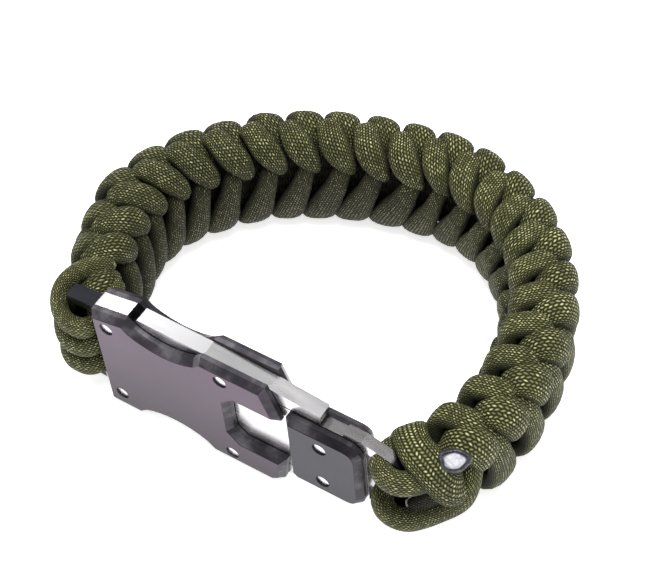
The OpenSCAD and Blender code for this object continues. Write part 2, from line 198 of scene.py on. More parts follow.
def section_table():
    """The band's outline, a superellipse, from its bottom edge up the inner face and down the outer one.

    Its two coordinates are half the thickness and half the width times the cosine and sine of an angle, each
    raised to 2 over the squareness with its sign kept. Columns: share of the girth, outward place, height,
    and the outline's unit normal.
    """
    a = -math.pi / 2 - np.linspace(0, 2 * math.pi, OUTLINE_SAMPLES)
    c, s = np.cos(a), np.sin(a)
    u = BAND_T / 2 * np.sign(c) * np.abs(c) ** (2 / SQUARENESS)
    v = BAND_W / 2 * np.sign(s) * np.abs(s) ** (2 / SQUARENESS)
    normal = np.stack([np.sign(c) * np.abs(c) ** (2 - 2 / SQUARENESS) / BAND_T,
                       np.sign(s) * np.abs(s) ** (2 - 2 / SQUARENESS) / BAND_W], -1)
    normal /= np.linalg.norm(normal, axis=1, keepdims=True)
    run = running_length(np.stack([u, v], -1))
    return np.column_stack([run / run[-1], u, v, normal])


SECTION = section_table()


def on_band(s, girth, depth):
    """Points at a depth below the band's surface, and its normals: s along it, girth as a share round it.

    A point is the centreline at s, plus the outline's outward place along the outward vector and its height,
    both narrowed near the band's ends and moved back along the outline's normal by the depth.
    """
    u, v, nu, nv = (np.interp(girth % 1.0, SECTION[:, 0], SECTION[:, k]) for k in (1, 2, 3, 4))
    to_end = np.minimum(s - BAND_START, BAND_END - s)
    k = END_SCALE + (1 - END_SCALE) * rise(to_end, 0, END_KNOTS * PITCH)
    u, v = u * k - nu * depth, v * k - nv * depth
    out = outward(s)
    points = np.concatenate([along(s) + out * u[..., None], (level(s) + v)[..., None]], -1)
    return points, np.concatenate([out * nu[..., None], nv[..., None]], -1)


# Meshes

COLUMNS = 34                    # columns of yarn round a cord
SIDES = 16                      # corners of a strand's ring
TIP = 0.6                       # a strand's closed end reaches on by this share of its half thickness
PATTERN_STEP = 53.0             # from one strand's place in the weave to the next one's, so that no two match
ROUND_FIRST = ((0, 0), (0, 1), (1, 1), (1, 0))   # a face's corners, as steps along and round a tube
ALONG_FIRST = ((0, 0), (1, 0), (1, 1), (0, 1))
TINY = 1e-9


def unit(v):
    """Each vector divided by its own length."""
    return v / np.maximum(np.linalg.norm(v, axis=-1, keepdims=True), TINY)


def mesh_piece(name, points, faces, uvs, material):
    """A smooth mesh object in metres from points in millimetres, its faces, and a UV pair for each corner."""
    mesh = bpy.data.meshes.new(name)
    mesh.from_pydata((points * MM).tolist(), [], faces)
    mesh.polygons.foreach_set("use_smooth", [True] * len(mesh.polygons))
    layer = mesh.uv_layers.new(name="sheath")
    layer.data.foreach_set("uv", np.asarray(uvs, np.float32).ravel())
    mesh.update()
    obj = bpy.data.objects.new(name, mesh)
    bpy.context.scene.collection.objects.link(obj)
    obj.data.materials.append(material)
    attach(obj, "root")
    return obj


def strand_piece(name, path, normal, half_w, half_t, material, roundness=2.3):
    """Flattened cords along many paths at once, closed at both ends.

    path and normal are strands x samples x 3. A ring is a superellipse of the given roundness, half_w wide
    square to the path and half_t thick along the normal, and each end closes on one point past its last ring.
    The UV's first number is the length in millimetres, its second counts yarn columns round the cord.
    """
    count, n, _ = path.shape
    heading = unit(np.gradient(path, axis=1))
    across = unit(np.cross(heading, normal))
    face = np.cross(across, heading)
    a = np.linspace(0, 2 * math.pi, SIDES + 1)[:-1] - math.pi / 2
    x = np.sign(np.cos(a)) * np.abs(np.cos(a)) ** (2 / roundness)
    y = np.sign(np.sin(a)) * np.abs(np.sin(a)) ** (2 / roundness)
    rings = (path[:, :, None] + across[:, :, None] * (half_w[..., None] * x)[..., None]
             + face[:, :, None] * (half_t[..., None] * y)[..., None])
    tip = half_t[:, [0, -1], None] * TIP
    poles = np.stack([path[:, 0] - heading[:, 0] * tip[:, 0], path[:, -1] + heading[:, -1] * tip[:, 1]], 1)
    points = np.concatenate([rings.reshape(-1, 3), poles.reshape(-1, 3)])

    def spot(k, i, j):
        """Number of the point at side j of ring i of strand k."""
        return (k * n + i) * SIDES + j % SIDES

    run = running_length(path) + PATTERN_STEP * np.arange(count)[:, None]
    turn = COLUMNS / SIDES
    k, i, j = np.meshgrid(np.arange(count), np.arange(n - 1), np.arange(SIDES), indexing="ij")
    quads = np.stack([spot(k, i + di, j + dj) for di, dj in ROUND_FIRST], -1)
    quad_uv = np.stack([np.stack([run[k, i + di], (j + dj) * turn], -1) for di, dj in ROUND_FIRST], -2)
    faces, uvs = quads.reshape(-1, 4).tolist(), [quad_uv.reshape(-1, 2)]
    k, j = np.meshgrid(np.arange(count), np.arange(SIDES), indexing="ij")
    for end, i, order in ((0, 0, (1, 0)), (1, n - 1, (0, 1))):
        pole = count * n * SIDES + 2 * k + end
        fan = np.stack([pole] + [spot(k, i, j + dj) for dj in order], -1)
        faces += fan.reshape(-1, 3).tolist()
        uvs.append(np.stack([np.stack([run[k, i], j * turn], -1)] * 3, -2).reshape(-1, 2))
    return mesh_piece(name, points, faces, np.concatenate(uvs), material)


# Shader nodes

def link(tree, value, socket):
    """Feeds a socket from another socket, or sets its own value."""
    if isinstance(value, bpy.types.NodeSocket):
        tree.links.new(value, socket)
    else:
        socket.default_value = value


def calc(tree, operation, *values):
    """A Math node over sockets and numbers."""
    node = tree.nodes.new("ShaderNodeMath")
    node.operation = operation
    for value, socket in zip(values, node.inputs):
        link(tree, value, socket)
    return node.outputs[0]


def axes(tree, vector):
    """The X, Y and Z of a vector, as sockets."""
    node = tree.nodes.new("ShaderNodeSeparateXYZ")
    link(tree, vector, node.inputs[0])
    return node.outputs


def noise(tree, vector, scale, detail, rough=0.5):
    """Cloudy noise over a vector, 0 to 1 and mostly near the middle."""
    node = tree.nodes.new("ShaderNodeTexNoise")
    link(tree, vector, node.inputs["Vector"])
    link(tree, scale, node.inputs["Scale"])
    node.inputs["Detail"].default_value = detail
    node.inputs["Roughness"].default_value = rough
    return node.outputs["Fac"]


def ramp(tree, value, stops):
    """A colour ramp; stops are (place, colour)."""
    node = tree.nodes.new("ShaderNodeValToRGB")
    link(tree, value, node.inputs["Fac"])
    elements = node.color_ramp.elements
    while len(elements) < len(stops):
        elements.new(0.5)
    for element, (place, colour) in zip(elements, stops):
        element.position = place
        element.color = (*colour, 1.0)
    return node.outputs["Color"]


def spread(tree, value, low, high, new_low, new_high):
    """Maps the range low to high onto new_low to new_high, and holds it at those two outside."""
    node = tree.nodes.new("ShaderNodeMapRange")
    for v, socket in zip((value, low, high, new_low, new_high), node.inputs):
        link(tree, v, socket)
    return node.outputs["Result"]


def mix(tree, factor, a, b, blend="MIX"):
    """Colour a blended with colour b by the factor."""
    node = tree.nodes.new("ShaderNodeMix")
    node.data_type = "RGBA"
    node.blend_type = blend
    link(tree, factor, node.inputs[0])
    for value, socket in ((a, node.inputs[6]), (b, node.inputs[7])):
        link(tree, value if isinstance(value, bpy.types.NodeSocket) else (*value, 1.0), socket)
    return node.outputs[2]


def scaled(tree, vector, factors):
    """A vector with each coordinate multiplied by its factor."""
    node = tree.nodes.new("ShaderNodeMapping")
    link(tree, vector, node.inputs["Vector"])
    node.inputs["Scale"].default_value = factors
    return node.outputs["Vector"]


def bump(tree, height, distance, strength=1.0):
    """A surface normal tilted by the slope of a height; distance is what height 1 stands for, in metres."""
    node = tree.nodes.new("ShaderNodeBump")
    link(tree, height, node.inputs["Height"])
    node.inputs["Distance"].default_value = distance
    node.inputs["Strength"].default_value = strength
    return node.outputs["Normal"]


def coordinates(tree, kind):
    """The piece's own coordinates: Object in metres, or UV."""
    return tree.nodes.new("ShaderNodeTexCoord").outputs[kind]


def new_group(name, inputs, outputs):
    """A shader node group with named sockets: its tree, its input node's sockets and its output node's."""
    tree = bpy.data.node_groups.new(name, "ShaderNodeTree")
    for label, kind in inputs:
        tree.interface.new_socket(name=label, in_out="INPUT", socket_type=kind)
    for label, kind in outputs:
        tree.interface.new_socket(name=label, in_out="OUTPUT", socket_type=kind)
    source = tree.nodes.new("NodeGroupInput")
    sink = tree.nodes.new("NodeGroupOutput")
    return tree, source.outputs, sink.inputs


def use_group(tree, group, **values):
    """Places a node group, with its inputs given by name."""
    node = tree.nodes.new("ShaderNodeGroup")
    node.node_tree = group
    for label, value in values.items():
        link(tree, value, node.inputs[label.replace("_", " ")])
    return node.outputs


def new_material(name):
    """An empty material with one Principled BSDF: the material, its tree and the BSDF's inputs."""
    material = bpy.data.materials.new(name)
    material.use_nodes = True
    tree = material.node_tree
    return material, tree, tree.nodes["Principled BSDF"].inputs


# Surface effects that several materials share

TICK_HALF_L, TICK_HALF_W = 0.46, 0.44      # half sizes of a yarn tick, in shares of its cell


def braided_sheath():
    """Braided cord cover: slanted oval yarn ticks in columns, every second column leaning the other way.

    A cell is one column wide and one tick long, and every second column starts half a tick later. Height is
    the root of 1 less the squares of the distances from the cell's middle, each over the tick's half size.
    Tone is a random number for each cell. Crown is minus the cosine of the turn round the cord: 1 on the line
    that faces out of the band, 0 at the cord's two sides and -1 on its hidden side.
    """
    tree, inp, out = new_group(
        "braided_sheath",
        [("Place", "NodeSocketVector"), ("Tick Length", "NodeSocketFloat"), ("Slant", "NodeSocketFloat")],
        [("Height", "NodeSocketFloat"), ("Tone", "NodeSocketFloat"), ("Crown", "NodeSocketFloat")])
    place = axes(tree, inp["Place"])
    column = calc(tree, "FLOOR", place["Y"])
    side = calc(tree, "SUBTRACT", calc(tree, "FRACT", place["Y"]), 0.5)
    odd = calc(tree, "MODULO", column, 2.0)
    lean = calc(tree, "MULTIPLY", calc(tree, "MULTIPLY_ADD", odd, -2.0, 1.0), inp["Slant"])
    x = calc(tree, "ADD", calc(tree, "DIVIDE", place["X"], inp["Tick Length"]),
             calc(tree, "MULTIPLY_ADD", side, lean, calc(tree, "MULTIPLY", odd, 0.5)))
    row = calc(tree, "FLOOR", x)
    step = calc(tree, "SUBTRACT", calc(tree, "FRACT", x), 0.5)
    far_along, far_across = (
        calc(tree, "POWER", calc(tree, "ABSOLUTE", calc(tree, "DIVIDE", off, half)), 2.0)
        for off, half in ((step, TICK_HALF_L), (side, TICK_HALF_W)))
    inside = calc(tree, "SUBTRACT", 1.0, calc(tree, "ADD", far_along, far_across))
    link(tree, calc(tree, "POWER", calc(tree, "MAXIMUM", inside, 0.0), 0.5), out["Height"])
    turn = calc(tree, "COSINE", calc(tree, "MULTIPLY", place["Y"], 2 * math.pi / COLUMNS))
    link(tree, calc(tree, "MULTIPLY", turn, -1.0), out["Crown"])
    cell = tree.nodes.new("ShaderNodeCombineXYZ")
    link(tree, row, cell.inputs[0])
    link(tree, column, cell.inputs[1])
    white = tree.nodes.new("ShaderNodeTexWhiteNoise")
    white.noise_dimensions = "2D"
    link(tree, cell.outputs[0], white.inputs["Vector"])
    link(tree, white.outputs["Value"], out["Tone"])
    return tree


def fine_grain():
    """Fine grain of a blasted or drawn metal face, and broad clouds over it: noise at two given scales."""
    tree, inp, out = new_group(
        "metal_grain",
        [("Place", "NodeSocketVector"), ("Fine", "NodeSocketFloat"), ("Broad", "NodeSocketFloat")],
        [("Grain", "NodeSocketFloat"), ("Cloud", "NodeSocketFloat")])
    link(tree, noise(tree, inp["Place"], inp["Fine"], 3.0), out["Grain"])
    link(tree, noise(tree, inp["Place"], inp["Broad"], 2.0), out["Cloud"])
    return tree


BRAID, GRAIN = braided_sheath(), fine_grain()

# Finishes

NO_COLOUR = (0.0, 0.0, 0.0)
CLOUDY, GRAINY = (0.3, 0.7), (0.2, 0.8)     # the range of broad and of fine noise that a finish spreads out
TICK_LENGTH, TICK_SLANT = 0.51, 0.5
TICK_HEIGHT = 0.00028                 # metres
TICK_TONES = (0.64, 1.01)             # the dullest and the brightest tick
CROWN_FROM, CROWN_FULL = -0.1, 0.6    # the crown values over which the painted shade at a cord's sides gives way
# Olive yarn, from painted shade between two ticks to a painted highlight atop the brightest one
YARN = ((0.0, (0.010, 0.012, 0.003)), (0.35, (0.040, 0.042, 0.009)), (0.75, (0.166, 0.167, 0.055)),
        (1.0, (0.58, 0.57, 0.31)))
YARN_ROUGH = (0.85, 0.55)             # the roughness in the gaps and on the brightest tick
DUST, DUST_SCALE, DUSTY = (0.10, 0.10, 0.045), 160.0, 0.5    # broad duller patches: colour, scale, strength


def cord_material(name, shade, side, painted_shade_from=-1.0, painted_shade_to=-0.9, painted_shade_share=0.0):
    """Olive braided cord: painted shade between the yarns and at its two sides, and some ticks brighter and
    yellower, their tops a painted highlight.

    shade multiplies the yarn colours, and side is the share of its tone that the cord keeps at its two sides.
    Painted shade makes it darker by the painted_shade_share left of painted_shade_from, and less so up to
    painted_shade_to, both in metres along x.
    """
    material, tree, socket = new_material(name)
    place = coordinates(tree, "Object")
    braid = use_group(tree, BRAID, Place=coordinates(tree, "UV"), Tick_Length=TICK_LENGTH, Slant=TICK_SLANT)
    tone = calc(tree, "MULTIPLY", braid["Height"], spread(tree, braid["Tone"], 0.0, 1.0, *TICK_TONES))
    # Painted shade in the creases: the cord darkens towards its two sides, where it meets its neighbours.
    tone = calc(tree, "MULTIPLY", tone, spread(tree, braid["Crown"], CROWN_FROM, CROWN_FULL, side, 1.0))
    colour = ramp(tree, tone, [(at, tuple(c * shade for c in yarn)) for at, yarn in YARN])
    patches = noise(tree, place, DUST_SCALE, detail=3.0)
    colour = mix(tree, spread(tree, patches, *CLOUDY, 0.0, DUSTY), colour, DUST, "SOFT_LIGHT")
    # Painted shade: darker towards the left along x.
    painted_shade_mask = spread(tree, axes(tree, place)["X"], painted_shade_from, painted_shade_to, painted_shade_share, 0.0)
    link(tree, mix(tree, painted_shade_mask, colour, NO_COLOUR), socket["Base Color"])
    link(tree, spread(tree, tone, 0.0, 1.0, *YARN_ROUGH), socket["Roughness"])
    socket["Specular IOR Level"].default_value = 0.3
    link(tree, bump(tree, braid["Height"], TICK_HEIGHT), socket["Normal"])
    return material


BEVEL_FULL, BEVEL_EDGE = 0.12, 0.04       # how far below its face a scale's bevel colours, painted shade and worn patches, are full, and start
FACE_PAINTED_SHADE = 0.42                          # painted shade: how much of its colour a face loses at the bottom
PAINTED_SHADE_FULL_AT, PAINTED_SHADE_NONE_AT = 0.002, 0.020        # metres above the table where it loses all of that, and none
SATIN = (0.26, 0.38)                      # its least and greatest roughness
BLAST_FINE, BLAST_BROAD, BLAST_HEIGHT = 5200.0, 70.0, 0.00002    # two grain scales, and a depth in metres
WEAR_AND_HIGHLIGHT_SCALE, WEAR_AND_HIGHLIGHT_STRETCH = 150.0, (1.0, 0.5, 1.6)
# Bevel colours by a noise: deep painted shade up to pale patches, partly worn and partly painted highlight
BEVEL_SHADE_AND_WEAR = ((0.34, (0.022, 0.020, 0.026)), (0.50, (0.046, 0.041, 0.050)), (0.70, (0.155, 0.146, 0.160)))


def black_metal_material(name, dark, pale, half_thick, bevel_shade_wear_tint):
    """Dark purple-grey anodised metal with a satin face, painted shade lower down, and bevels in painted
    shade with pale patches, partly worn and partly painted highlight.

    The face is what lies half_thick from the clasp's middle plane. Its colour wanders from dark to pale.
    bevel_shade_wear_tint multiplies the bevels' colours.
    """
    material, tree, socket = new_material(name)
    place = coordinates(tree, "Object")
    at = axes(tree, place)
    grain = use_group(tree, GRAIN, Place=place, Fine=BLAST_FINE, Broad=BLAST_BROAD)
    colour = mix(tree, spread(tree, grain["Cloud"], *CLOUDY, 0.0, 1.0), dark, pale)
    # Painted shade: the face darkens towards the table.
    colour = mix(tree, spread(tree, at["Z"], PAINTED_SHADE_FULL_AT, PAINTED_SHADE_NONE_AT, FACE_PAINTED_SHADE, 0.0), colour, NO_COLOUR)
    # Painted shade and painted highlight on the bevels, with worn patches among them.
    off = calc(tree, "ABSOLUTE", calc(tree, "SUBTRACT", at["Y"], CLASP_Y * MM))
    bevel = spread(tree, off, (half_thick - BEVEL_FULL) * MM, (half_thick - BEVEL_EDGE) * MM, 1.0, 0.0)
    wear_and_highlight_noise = noise(tree, scaled(tree, place, WEAR_AND_HIGHLIGHT_STRETCH), WEAR_AND_HIGHLIGHT_SCALE, detail=4.0, rough=0.6)
    bevel_shade_and_wear_colour = ramp(tree, wear_and_highlight_noise, [(stop, tuple(bevel_shade_wear_tint * c for c in tone)) for stop, tone in BEVEL_SHADE_AND_WEAR])
    link(tree, mix(tree, bevel, colour, bevel_shade_and_wear_colour), socket["Base Color"])
    socket["Metallic"].default_value = 0.5
    socket["Specular IOR Level"].default_value = 0.2
    link(tree, spread(tree, grain["Grain"], *GRAINY, *SATIN), socket["Roughness"])
    link(tree, bump(tree, grain["Grain"], BLAST_HEIGHT, 0.5), socket["Normal"])
    return material


# Painted shade: the bails lie in shadow, so their steel is coloured very dark.
BAIL_SHADE_COLOUR = (0.010, 0.010, 0.013)
BAIL_SHADE_SKEW = -0.08                        # the bails' painted shade starts a little further right higher up
# Where the painted shade of the bails starts and is full, in metres along the clasp
LEFT_BAIL_SHADE, RIGHT_BAIL_SHADE, NO_BAIL_SHADE = (-0.0259, -0.0263), (0.0268, 0.0274), (1.0, 1.1)
UPWARD_SHADE_FROM, UPWARD_SHADE_FULL = 0.6, 0.8           # the upward part of the normal where the painted shade on upward faces starts
DRAWN, EVEN = (0.06, 1.0, 1.0), (1.0, 1.0, 1.0)    # drawn steel's grain is stretched along the clasp
DRAWN_FINE, DRAWN_BROAD, DRAWN_HEIGHT = 900.0, 60.0, 0.00001
DULLED = 0.86                             # the share of its colour that steel keeps where it is dullest


def steel_material(name, colour, upward_shade, bail_shade, fine=DRAWN_FINE, stretch=DRAWN, rough=(0.16, 0.28)):
    """Bright steel with drawn lines; painted shade darkens its upward faces and makes its bail end very dark.

    fine is the scale of its grain and rough its least and greatest roughness. The bail's painted shade goes
    by x plus the skew times the height.
    """
    material, tree, socket = new_material(name)
    place = coordinates(tree, "Object")
    at = axes(tree, place)
    grain = use_group(tree, GRAIN, Place=scaled(tree, place, stretch), Fine=fine, Broad=DRAWN_BROAD)
    dull = tuple(DULLED * c for c in colour)
    tint = mix(tree, spread(tree, grain["Cloud"], *CLOUDY, 0.0, 1.0), colour, dull)
    # Painted shade: faces that point up take a darker colour.
    facing = axes(tree, tree.nodes.new("ShaderNodeNewGeometry").outputs["Normal"])
    tint = mix(tree, spread(tree, facing["Z"], UPWARD_SHADE_FROM, UPWARD_SHADE_FULL, 0.0, 1.0), tint, upward_shade)
    # Painted shade: the bail end, which lies in shadow, is coloured very dark.
    bail_shade_mask = spread(tree, calc(tree, "MULTIPLY_ADD", at["Z"], BAIL_SHADE_SKEW, at["X"]), *bail_shade, 0.0, 1.0)
    link(tree, mix(tree, bail_shade_mask, tint, BAIL_SHADE_COLOUR), socket["Base Color"])
    socket["Metallic"].default_value = 1.0
    link(tree, spread(tree, grain["Grain"], *GRAINY, *rough), socket["Roughness"])
    link(tree, bump(tree, grain["Grain"], DRAWN_HEIGHT, 0.2), socket["Normal"])
    return material


# From the melted end's middle over its rim, at 0.5, and down its shaft
MELTED_COLOURS = ((0.0, (0.50, 0.50, 0.54)), (0.40, (0.42, 0.42, 0.47)), (0.48, (0.03, 0.03, 0.035)),
                  (1.0, (0.012, 0.012, 0.014)))
BLOT_SCALE, BLOT_SHIFT, BLOT_HEIGHT = 900.0, 0.06, 0.0008    # blots shift the colours, and stand up in metres


def melted_material():
    """Whitish melted nylon, dark where it was scorched round its rim.

    Its colours go by half the UV's first number, which is 1 at the rim, shifted a little by the blots.
    """
    material, tree, socket = new_material("melted_nylon")
    out = axes(tree, coordinates(tree, "UV"))["X"]
    blot = noise(tree, coordinates(tree, "Object"), BLOT_SCALE, detail=3.0)
    shift = spread(tree, blot, 0.0, 1.0, -BLOT_SHIFT, BLOT_SHIFT)
    rim = calc(tree, "ADD", calc(tree, "MULTIPLY", out, 0.5), shift)
    link(tree, ramp(tree, rim, MELTED_COLOURS), socket["Base Color"])
    socket["Roughness"].default_value = 0.35
    link(tree, bump(tree, blot, BLOT_HEIGHT), socket["Normal"])
    return material


# Painted shade: the band's cord darkens towards its left, and the lower strands get a darker copy.
CORD = cord_material("olive_braided_cord", 1.10, 0.2, painted_shade_from=-0.036, painted_shade_to=0.012, painted_shade_share=0.26)
END_CORD = cord_material("olive_braided_cord_ends", 1.08, 0.95)
LOW_CORD_PAINTED_SHADE = cord_material("olive_braided_cord_low_painted_shade", 0.95, 0.25, painted_shade_from=-0.004, painted_shade_to=0.024, painted_shade_share=0.50)
# Painted shade: the core cord's dark colour stands for the shade deep between the strands.
CORE = cord_material("olive_core_cord_painted_shade", 0.24, 0.6)

# How far the faces of the scales lie from the clasp's middle plane
SHEATH_HALF, BLOCK_HALF = (CLASP_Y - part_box(n)[0][1] / MM
                           for n in ("sheath_front_scale", "handle_front_scale"))
BACK_BLOCK_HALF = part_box("handle_back_scale")[1][1] / MM - CLASP_Y
SHEATH_TONES = (0.053, 0.032, 0.055), (0.067, 0.041, 0.068)
BLOCK_TONES = (0.012, 0.010, 0.018), (0.019, 0.017, 0.027)
BLACK = black_metal_material("black_anodised_metal", *SHEATH_TONES, SHEATH_HALF, bevel_shade_wear_tint=1.0)
BLOCK = black_metal_material("dark_block_metal", *BLOCK_TONES, BLOCK_HALF, bevel_shade_wear_tint=0.6)
BACK_BLOCK = black_metal_material("dark_block_metal_back", *BLOCK_TONES, BACK_BLOCK_HALF, bevel_shade_wear_tint=0.6)

# The top shades are painted shade for the steel's upward faces.
BRIGHT, RAIL_TOP_SHADE, TANG_TOP_SHADE = (0.72, 0.71, 0.72), (0.36, 0.355, 0.36), (0.18, 0.172, 0.174)
STEEL = steel_material("brushed_steel", BRIGHT, RAIL_TOP_SHADE, NO_BAIL_SHADE)
# Painted shade makes the bail ends of these two very dark.
ANCHOR = steel_material("bail_steel_painted_shade", BRIGHT, BRIGHT, LEFT_BAIL_SHADE)
BLADE = steel_material("ground_blade_steel", BRIGHT, TANG_TOP_SHADE, RIGHT_BAIL_SHADE, rough=(0.16, 0.3))
RIVET = steel_material("rivet_steel", (0.85, 0.83, 0.85), BRIGHT, NO_BAIL_SHADE,
                       fine=2500.0, stretch=EVEN, rough=(0.25, 0.4))
MELTED = melted_material()

METAL_FINISHES = {
    "sheath_front_scale": BLACK, "sheath_back_scale": BLACK, "handle_front_scale": BLOCK,
    "handle_back_scale": BACK_BLOCK, "anchor_plate": ANCHOR, "upper_rail": STEEL, "lower_rail": STEEL,
    "blade_and_tang": BLADE, "sheath_rivet_1": RIVET, "sheath_rivet_2": RIVET, "sheath_rivet_3": RIVET,
    "sheath_rivet_4": RIVET, "handle_rivet_1": RIVET, "handle_rivet_2": RIVET}
for name, material in METAL_FINISHES.items():
    slots = nodes[name].data.materials
    slots.clear()
    slots.append(material)

# The woven band

# One knot's strands. Rows: knots along the band, share of the girth in 720ths from the bottom edge up the
# inner face, depth of the strand's middle below the band's surface, half width, half thickness, and roll in
# degrees
GIRTH = 720
OVER_TOP = [(0.42, 202, 5.0, 1.1, 1.1, 0), (0.50, 222, 3.6, 1.35, 1.2, 0), (0.50, 243, 2.5, 1.7, 1.4, 0),
            (0.41, 265, 1.9, 2.2, 1.5, 0), (0.26, 290, 1.6, 2.6, 1.5, 2), (0.12, 317, 1.6, 2.65, 1.5, 6),
            (0.01, 345, 1.7, 2.4, 1.5, 8), (-0.08, 371, 1.7, 2.2, 1.5, 6), (-0.19, 394, 2.3, 2.0, 1.4, 2),
            (-0.28, 413, 3.6, 1.7, 1.2, 0), (-0.33, 430, 4.9, 1.4, 1.1, 0)]
UNDER_BOTTOM = [(1.30, 274, 5.0, 1.3, 1.2, 0), (1.22, 256, 3.8, 1.5, 1.3, 0), (1.11, 231, 2.4, 1.7, 1.5, 0),
                (0.98, 200, 1.8, 1.95, 1.5, 0), (0.84, 166, 1.6, 2.35, 1.5, 0), (0.70, 128, 1.4, 2.9, 1.5, 0),
                (0.57, 85, 1.3, 3.2, 1.5, 0), (0.50, 30, 1.4, 2.9, 1.5, 0), (0.45, -40, 1.4, 2.8, 1.5, 0),
                (0.46, -100, 1.4, 2.55, 1.5, 0), (0.52, -150, 1.4, 2.35, 1.5, 0),
                (0.61, -190, 1.5, 2.15, 1.5, 0), (0.69, -230, 1.7, 2.05, 1.5, 0),
                (0.74, -264, 2.6, 1.8, 1.4, 0), (0.77, -290, 4.4, 1.6, 1.2, 0)]
OUTER_BAR = [(0.66, 338, 6.6, 1.5, 1.2, 0), (0.61, 356, 5.8, 1.8, 1.3, 0), (0.54, 374, 4.6, 2.1, 1.4, 0),
             (0.45, 393, 3.0, 2.4, 1.5, 0), (0.32, 417, 1.4, 2.6, 1.5, 0), (0.17, 448, 0.9, 2.55, 1.5, 0),
             (0.05, 482, 1.3, 2.35, 1.5, 0), (-0.02, 507, 2.8, 1.8, 1.3, 0), (-0.06, 523, 4.4, 1.3, 1.1, 0)]
# Where the knots with these numbers lie, in even pitches from the band's left end: the ones round the far
# side are pushed a little closer together
KNOT_NUMBER = (0, 4, 9, 13, 17, 18, 21, 22)
KNOT_PLACE = (0.62, 4.5, 9.38, 13.12, 16.9, 17.85, 21.05, 22.0)
# Seeded differences: knots along, 720ths round, millimetres deeper, and share wider, which is also the roll
WANDER = (0.025, 2.5, 0.08, 0.03)
WANDER_ROLL = 60                # degrees of roll for a strand that is wider by its whole width
# Starts and lengths of rises, in knots or in 720ths of the girth. A strand that leans does so between the
# first two. The first knots' strands lie deeper on their upper and outer part, by up to SLIM_MOST times
# LEFT_SLIM. The last knots' strands lie deeper by RIGHT_TUCK, from TUCK_BOTTOM up to TUCK_GIRTH's fall.
LEAN_IN, LEAN_OUT, LEAN_GIRTH = (4, 3), (17, -3), (60, 120)
LEFT_SLIM, LEFT_SLIM_KNOTS, SLIM_MOST, SLIM_GIRTH = 1.6, 2.6, 1.2, (320, 60)
RIGHT_TUCK, TUCK_KNOTS, TUCK_BOTTOM, TUCK_GIRTH = 1.1, (13, 4), 200, (312, -45)
# How far apart, either way, the band's stretch is measured, and the range that it is held to
STRETCH_STEP, LEAST_STRETCH, MOST_STRETCH = 0.5, 0.72, 1.3


def knot_strands(name, rows, samples, first=0, last=KNOTS - 1, material=CORD, lean=0.0):
    """The same strand in every knot: a smooth path through the rows, with small seeded differences.

    Each row's place along the band is its knot's own place plus the row's, and its width follows how far the
    band's surface is stretched there by the ring's bend. The strand lies deeper by the slim and tuck amounts,
    each a product of rises along the band and round the girth.
    """
    number = np.arange(first, last + 1)
    ks = (np.interp(number, KNOT_NUMBER, KNOT_PLACE) + np.minimum(number, 0))[:, None]
    ds, girth, depth, half_w, half_t, roll = smooth_rows(rows, samples).T
    leaning = rise(number, *LEAN_IN) * rise(number, *LEAN_OUT)
    ds = ds + lean * leaning[:, None] * rise(girth, *LEAN_GIRTH)
    wander = rng.normal(size=(len(ks), 4)) * WANDER
    s = BAND_START + (ks + ds + wander[:, :1]) * PITCH
    g = (girth + wander[:, 1:2]) / GIRTH
    slim = LEFT_SLIM * np.clip(1 - (ks + ds) / LEFT_SLIM_KNOTS, 0, SLIM_MOST) * rise(girth, *SLIM_GIRTH)
    tuck = RIGHT_TUCK * rise(ks + ds, *TUCK_KNOTS) * rise(girth, *TUCK_GIRTH) * (girth > TUCK_BOTTOM)
    d = depth + wander[:, 2:3] + slim + tuck
    path, normal = on_band(s, g, d)
    ahead, behind = (on_band(s + step, g, d)[0] for step in (STRETCH_STEP, -STRETCH_STEP))
    stretch = np.clip(np.linalg.norm(ahead - behind, axis=-1), LEAST_STRETCH, MOST_STRETCH)
    across = unit(np.cross(np.gradient(path, axis=1), normal))
    turn = np.radians(roll + WANDER_ROLL * wander[:, 3:])[..., None]
    normal = normal * np.cos(turn) - across * np.sin(turn)
    return strand_piece(name, path, normal, half_w * stretch * (1 + wander[:, 3:]),
                        np.broadcast_to(half_t, s.shape), material)


CORE_RINGS, CORE_SIDES, CORE_END_ROOM = 150, 24, 0.5
CORE_DEPTH, CORE_SINK = 3.8, 0.9      # its mean depth, and how much less that is below and more above


def core_piece():
    """The cords inside the band: a plain tube 2.9 mm below its bottom surface, 4.7 mm below its top.

    Its depth is the mean depth less the sink times the cosine of the angle round the girth.
    """
    s = np.linspace(BAND_START + CORE_END_ROOM, BAND_END - CORE_END_ROOM, CORE_RINGS)
    g = np.linspace(0, 1, CORE_SIDES + 1)[:-1]
    s_grid, g_grid = np.meshgrid(s, g, indexing="ij")
    points, _ = on_band(s_grid, g_grid, CORE_DEPTH - CORE_SINK * np.cos(2 * math.pi * g_grid))
    i, j = np.meshgrid(np.arange(CORE_RINGS - 1), np.arange(CORE_SIDES), indexing="ij")
    quads = np.stack([(i + di) * CORE_SIDES + (j + dj) % CORE_SIDES for di, dj in ALONG_FIRST], -1)
    first = np.arange(CORE_SIDES)
    last = (CORE_RINGS - 1) * CORE_SIDES + first[::-1]
    uv = np.stack([np.stack([s[i + di], j + dj], -1) for di, dj in ALONG_FIRST], -2).reshape(-1, 2)
    faces = quads.reshape(-1, 4).tolist() + [first.tolist(), last.tolist()]
    return mesh_piece("core_cords", points.reshape(-1, 3), faces,
                      np.concatenate([uv, np.zeros((2 * CORE_SIDES, 2))]), CORE)


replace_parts(core_piece(), "woven_band")
knot_strands("strands_over_top", OVER_TOP, samples=30, first=-1)
knot_strands("strands_under_bottom", UNDER_BOTTOM, samples=44, first=-1, last=KNOTS - 2,
             material=LOW_CORD_PAINTED_SHADE, lean=0.25)
knot_strands("bars_on_outer_face", OUTER_BAR, samples=26)

# The loops round the bails

